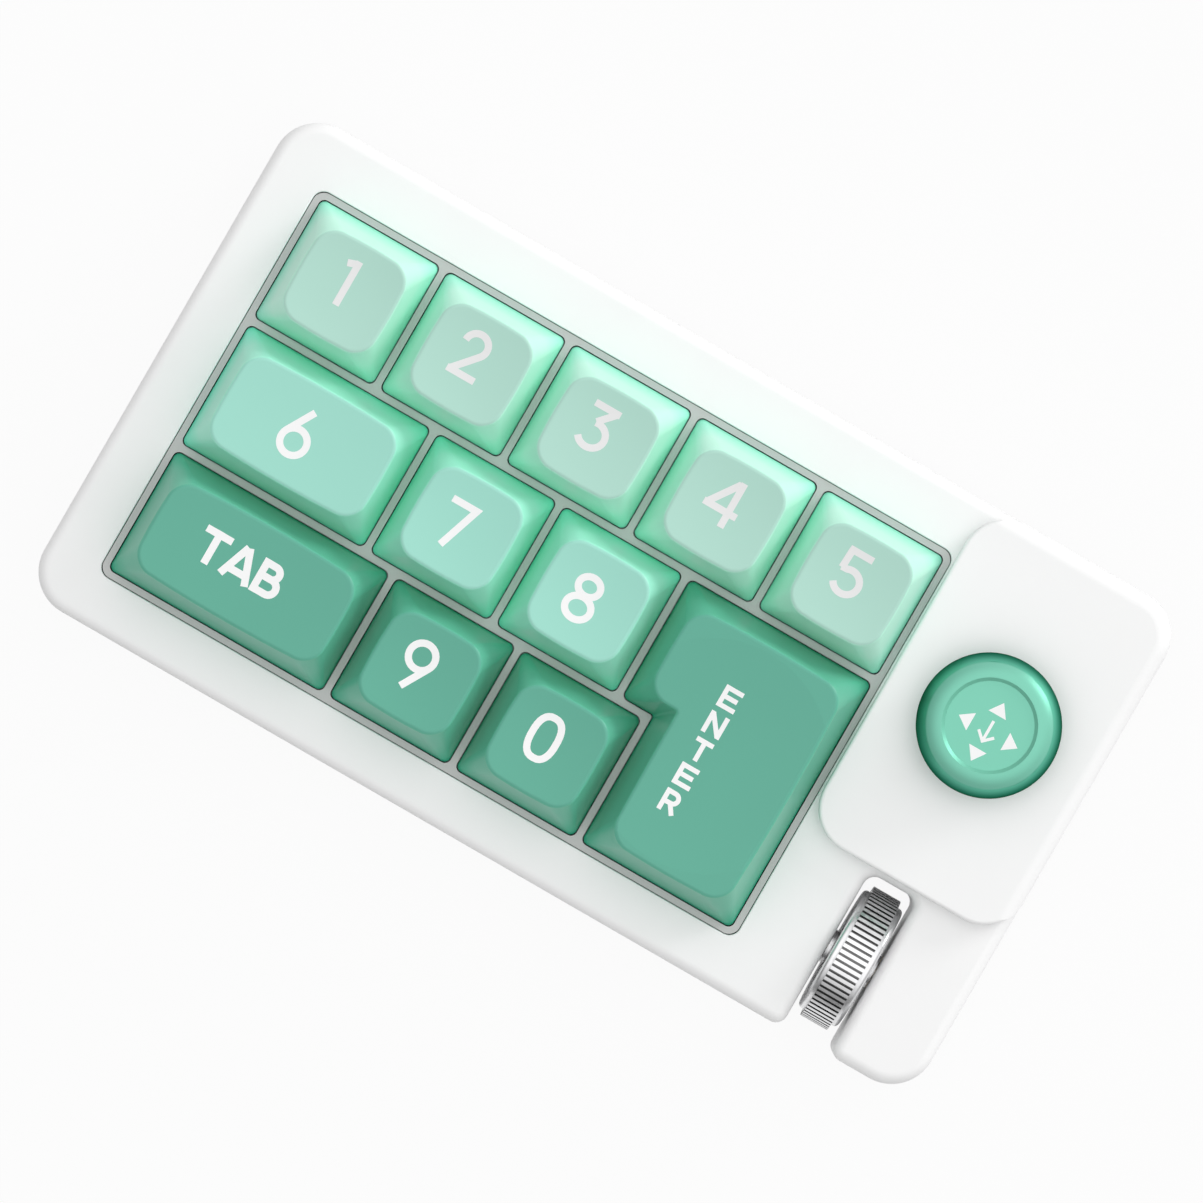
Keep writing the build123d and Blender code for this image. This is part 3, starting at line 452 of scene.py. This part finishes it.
DIGITS = {
    "1": [[(0.48, 3.23), (0.48, -3.23)], [(-0.9, 2.36), (0.4, 2.78)]],
    "2": [oval(0.0, 1.37, 1.58, 1.58, 180.0, -221.0) + [(-1.62, -2.87)], [(-2.0, -2.87), (2.1, -2.87)]],
    "3": [[(-1.92, 2.79), (1.83, 2.79)], [(1.42, 2.75), (-0.55, 0.62)],
          oval(-0.26, -1.18, 1.83, 1.7, 100.0, -250.0)],
    "4": [[(1.18, 3.27), (1.18, -3.27)], [(0.9, 2.95), (-2.0, -1.18)], [(-2.44, -1.18), (2.44, -1.18)]],
    "5": [[(-1.81, 2.88), (1.68, 2.88)], [(-1.38, 3.0), (-1.5, 0.2)],
          [(-1.6, 0.3)] + oval(-0.07, -1.18, 1.75, 1.66, 115.0, -270.0)],
    "6": SIX,
    "7": [[(-2.14, 2.85), (1.45, 2.85), (-0.6, -3.22)]],
    "8": [oval(0.0, 1.67, 1.52, 1.32), oval(0.0, -1.41, 1.77, 1.55)],
    "9": upside_down(SIX),
    "0": [squared_oval(1.78, 2.93, 2.5)],
}

# Letters, one unit tall
LETTERS = {
    "T": [[(-0.4, 0.395), (0.4, 0.395)], [(0.0, 0.5), (0.0, -0.5)]],
    "A": [[(-0.02, 0.49), (-0.38, -0.5)], [(0.02, 0.49), (0.38, -0.5)], [(-0.25, -0.25), (0.25, -0.25)]],
    "B": [[(-0.284, 0.5), (-0.284, -0.5)],
          [(-0.284, 0.395)] + oval(0.004, 0.212, 0.183, 0.183, 90.0, -180.0) + [(-0.284, 0.03)],
          [(-0.284, 0.03)] + oval(0.07, -0.183, 0.213, 0.213, 90.0, -180.0) + [(-0.284, -0.395)]],
    "E": [[(-0.318, 0.5), (-0.318, -0.5)], [(-0.42, 0.395), (0.425, 0.395)],
          [(-0.318, 0.01), (0.34, 0.01)], [(-0.42, -0.395), (0.425, -0.395)]],
    "N": [[(-0.33, 0.5), (-0.33, -0.5)], [(0.33, 0.5), (0.33, -0.5)], [(-0.33, 0.44), (0.33, -0.44)]],
    "R": [[(-0.318, 0.5), (-0.318, -0.5)],
          [(-0.318, 0.395)] + oval(0.02, 0.17, 0.225, 0.225, 90.0, -180.0) + [(-0.318, -0.055)],
          [(0.0, -0.06), (0.3, -0.5)]],
}


def word(letters, height, step_x, step_y):
    strokes = []
    for i, letter in enumerate(letters):
        steps = i - (len(letters) - 1) / 2
        shift_x, shift_y = steps * step_x, steps * step_y
        for stroke in LETTERS[letter]:
            strokes.append([(x * height + shift_x, y * height + shift_y) for x, y in stroke])
    return strokes


# Legends and marks

def divided(points):
    made = [Vector(points[0])]
    for a, b in zip(points, points[1:]):
        a, b = Vector(a), Vector(b)
        count = max(1, math.ceil((b - a).length / STROKE_STEP))
        made += [a.lerp(b, i / count) for i in range(1, count + 1)]
    return made


def ribbon(points, width):
    """The two edges of a stroke, mitred at its corners."""
    closed = (Vector(points[0]) - Vector(points[-1])).length < SAME_POINT
    line = divided(points)
    ways = [(b - a).normalized() for a, b in zip(line, line[1:])]
    left, right = [], []
    for i, point in enumerate(line):
        before = ways[i - 1] if i or closed else ways[0]
        after = ways[i % len(ways)] if i < len(ways) or closed else ways[-1]
        normal = Vector((-before.y - after.y, before.x + after.x)).normalized()
        reach = width / 2 / max(MITRE_LIMIT, normal.dot(Vector((-after.y, after.x))))
        left.append(point + normal * reach)
        right.append(point - normal * reach)
    return left, right


def filled(strokes, width):
    """Points and triangles that cover the strokes, each place once."""
    points, quads = [], []
    for stroke in strokes:
        left, right = ribbon(stroke, width)
        for i in range(len(left) - 1):
            start = len(points)
            points += [left[i], right[i], right[i + 1], left[i + 1]]
            quads.append([start, start + 1, start + 2, start + 3])
    made = delaunay_2d_cdt(points, [], quads, FILL_INSIDE, FILL_TOLERANCE)
    made_points, triangles, sources = made[0], made[2], made[5]
    return made_points, [triangle for triangle, source in zip(triangles, sources) if source]


def surface_of(node):
    mesh = nodes[node].data
    return BVHTree.FromPolygons([v.co for v in mesh.vertices], [p.vertices for p in mesh.polygons])


def outer_edges(faces):
    """The edges that only one face has, in that face's direction."""
    found = {}
    for face in faces:
        for a, b in zip(face, face[1:] + face[:1]):
            if not found.pop((b, a), False):
                found[(a, b)] = True
    return list(found)


def printed(name, outline, middle, node, body, material):
    """A thin closed inlay that follows the top face of a node."""
    points, faces = outline
    surface = surface_of(node)
    mesh = bmesh.new()
    upper, lower = [], []
    for point in points:
        x, y = (middle[0] + point.x) * MM, (middle[1] + point.y) * MM
        hit = surface.ray_cast(Vector((x, y, RAY_HEIGHT * MM)), DOWN)[0]
        upper.append(mesh.verts.new((x, y, hit.z + LEGEND_PROUD * MM)))
        lower.append(mesh.verts.new((x, y, hit.z - LEGEND_SUNK * MM)))
    for face in faces:
        mesh.faces.new([upper[i] for i in face])
        mesh.faces.new([lower[i] for i in reversed(face)])
    for a, b in outer_edges(faces):
        mesh.faces.new([upper[b], upper[a], lower[a], lower[b]])
    for vert in [v for v in mesh.verts if not v.link_faces]:
        mesh.verts.remove(vert)
    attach(new_piece(name, mesh, material), body)


def make_legends(materials):
    def legend(key, strokes, width, shift, ink):
        x, y = middle_of("keycap_" + key)
        printed("legend_" + key, filled(strokes, width), (x + shift[0], y + shift[1]),
                "keycap_" + key, "key_" + key, materials[ink])

    for keys, (shift_x, shift_y, ink) in ROWS.items():
        for key in keys:
            legend(key, DIGITS[key], DIGIT_STROKE, (shift_x, shift_y), ink)
    tab = word("TAB", TAB_HEIGHT, TAB_STEP, 0.0)
    legend("tab", tab, TAB_HEIGHT * LETTER_STROKE, TAB_SHIFT, "legend_white")
    enter = word("ENTER", ENTER_HEIGHT, 0.0, ENTER_STEP)
    legend("enter", enter, ENTER_HEIGHT * LETTER_STROKE, ENTER_SHIFT, "legend_white")


def triangle_at(x, y, turn):
    cos, sin = math.cos(math.radians(turn)), math.sin(math.radians(turn))
    back, tip, half = -MARK_HEIGHT / 2, MARK_HEIGHT / 2, MARK_BASE / 2
    corners = [(back, -half), (tip, 0.0), (back, half)]
    points = [Vector((x + u * cos - v * sin, y + u * sin + v * cos)) for u, v in corners]
    return points, [[0, 1, 2]]


def make_marks(materials):
    middle = middle_of("joystick_knob")
    ink = materials["legend_white"]
    for name, (x, y, turn) in MARK_PLACES.items():
        printed("mark_" + name, triangle_at(x, y, turn), middle, "joystick_knob", "joystick_knob", ink)
    printed("mark_press", filled(ARROW, ARROW_STROKE), middle, "joystick_knob", "joystick_knob", ink)


# Springs, cut out of their nodes as pieces of their own

def part_of(node, name, wanted, material):
    """The triangles of a node whose middles are wanted, closed into a piece of its own."""
    whole = nodes[node].data
    points = np.empty(3 * len(whole.vertices))
    whole.vertices.foreach_get("co", points)
    points = points.reshape(-1, 3)
    triangles = np.empty(len(whole.loops), dtype=int)
    whole.loops.foreach_get("vertex_index", triangles)
    triangles = triangles.reshape(-1, 3)
    chosen = triangles[wanted(*points[triangles].mean(axis=1).T)]
    used, chosen = np.unique(chosen, return_inverse=True)
    mesh = bmesh.new()
    corners = [mesh.verts.new(point) for point in points[used].tolist()]
    for a, b, c in chosen.reshape(-1, 3).tolist():
        mesh.faces.new((corners[a], corners[b], corners[c])).smooth = True
    bmesh.ops.remove_doubles(mesh, verts=mesh.verts, dist=WELD * MM)
    bmesh.ops.holes_fill(mesh, edges=[edge for edge in mesh.edges if edge.is_boundary])
    piece = new_piece(name, mesh, material)
    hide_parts(node)
    return piece


def make_key_spring(key, bottom, steel):
    middle_x, middle_y = middle_of("stem_" + key)
    foot = Vector((middle_x * MM, middle_y * MM, bottom))

    def near(x, y, z):
        return np.hypot(x - foot.x, y - foot.y) < SPRING_REACH * MM

    piece = part_of("switch_springs", "spring_" + key, near, steel)
    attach(piece, "root")
    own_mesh(piece)


def make_stick_spring(steel):
    """Two lengths of one spring: the ring bends the lower one, and the stick on it the upper one."""
    low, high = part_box("centring_spring")
    middle = (low + high) / 2
    half_wire = Vector((0.0, 0.0, STICK_SPRING_WIRE * MM / 2))
    pitch = (high.z - low.z - 2 * half_wire.z) / STICK_SPRING_TURNS

    def is_upper(x, y, z):
        around = np.arctan2(y - middle.y, x - middle.x) / (2 * math.pi)
        climbed = (z - low.z - half_wire.z) / pitch
        return around + np.round(climbed - around) > STICK_SPRING_TURNS / 2

    def is_lower(x, y, z):
        return ~is_upper(x, y, z)

    lower = part_of("centring_spring", "stick_spring_lower", is_lower, steel)
    upper = part_of("centring_spring", "stick_spring_upper", is_upper, steel)
    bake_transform(lower)
    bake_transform(upper)


def make_springs(materials):
    low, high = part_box("switch_springs")
    for node in nodes:
        if node.startswith("stem_"):
            make_key_spring(node.removeprefix("stem_"), low.z, materials["steel"])
    make_stick_spring(materials["steel"])


# Floor and light

def seen_directly(tree):
    """1 for rays from the camera, mirrors and glass, 0 for the light that falls on the object."""
    path = tree.nodes.new("ShaderNodeLightPath")
    total = path.outputs["Is Camera Ray"]
    for name in ("Is Glossy Ray", "Is Transmission Ray"):
        total = number_step(tree, "MAXIMUM", total, path.outputs[name])
    return total


def floor_material():
    material = bpy.data.materials.new("floor_white")
    material.use_nodes = True
    tree = material.node_tree
    tree.nodes.clear()
    output = tree.nodes.new("ShaderNodeOutputMaterial")
    mix = tree.nodes.new("ShaderNodeMixShader")
    paint = tree.nodes.new("ShaderNodeBsdfDiffuse")
    glow = tree.nodes.new("ShaderNodeEmission")
    paint.inputs["Color"].default_value = (FLOOR_PAINT, FLOOR_PAINT, FLOOR_PAINT, 1.0)
    tree.links.new(spread(tree, seen_directly(tree), 0.0, FLOOR_GLOW, (0.0, 1.0)), mix.inputs["Fac"])
    tree.links.new(paint.outputs["BSDF"], mix.inputs[1])
    tree.links.new(glow.outputs["Emission"], mix.inputs[2])
    tree.links.new(mix.outputs["Shader"], output.inputs["Surface"])
    return material


def make_floor():
    mesh = bmesh.new()
    bmesh.ops.create_grid(mesh, x_segments=1, y_segments=1, size=FLOOR_REACH)
    floor = new_piece("floor", mesh, floor_material())
    floor.location.z = cad_box[0].z


def towards_light():
    turn, rise = math.radians(LIGHT_TURN), math.radians(LIGHT_RISE)
    return Vector((math.cos(turn) * math.cos(rise), math.sin(turn) * math.cos(rise), math.sin(rise)))


def make_world():
    world = bpy.data.worlds.new("studio")
    world.use_nodes = True
    bpy.context.scene.world = world
    tree = world.node_tree
    way = tree.nodes.new("ShaderNodeTexCoord").outputs["Generated"]
    facing = vector_step(tree, "DOT_PRODUCT", way, towards_light(), "Value")
    around = spread(tree, facing, SKY_DARK, SKY_BRIGHT, (-1.0, 1.0))
    overhead = spread(tree, upward_part(tree, way), 0.0, SKY_TOP, SKY_TOP_BAND)
    background = tree.nodes["Background"]
    background.inputs["Color"].default_value = (1.0, 1.0, 1.0, 1.0)
    tree.links.new(number_step(tree, "ADD", around, overhead), background.inputs["Strength"])


def make_lamp():
    data = bpy.data.lights.new("low_lamp", "SUN")
    data.angle = math.radians(LAMP_SPREAD)
    data.energy = LAMP_STRENGTH
    lamp = bpy.data.objects.new("low_lamp", data)
    lamp.location = towards_light()
    lamp.rotation_euler = towards_light().to_track_quat("Z", "Y").to_euler()
    bpy.context.scene.collection.objects.link(lamp)


make_camera()
materials = make_materials()
dress_nodes(materials)
make_legends(materials)
make_marks(materials)
make_springs(materials)
make_floor()
make_world()
make_lamp()
bpy.context.scene.view_settings.view_transform = "Standard"
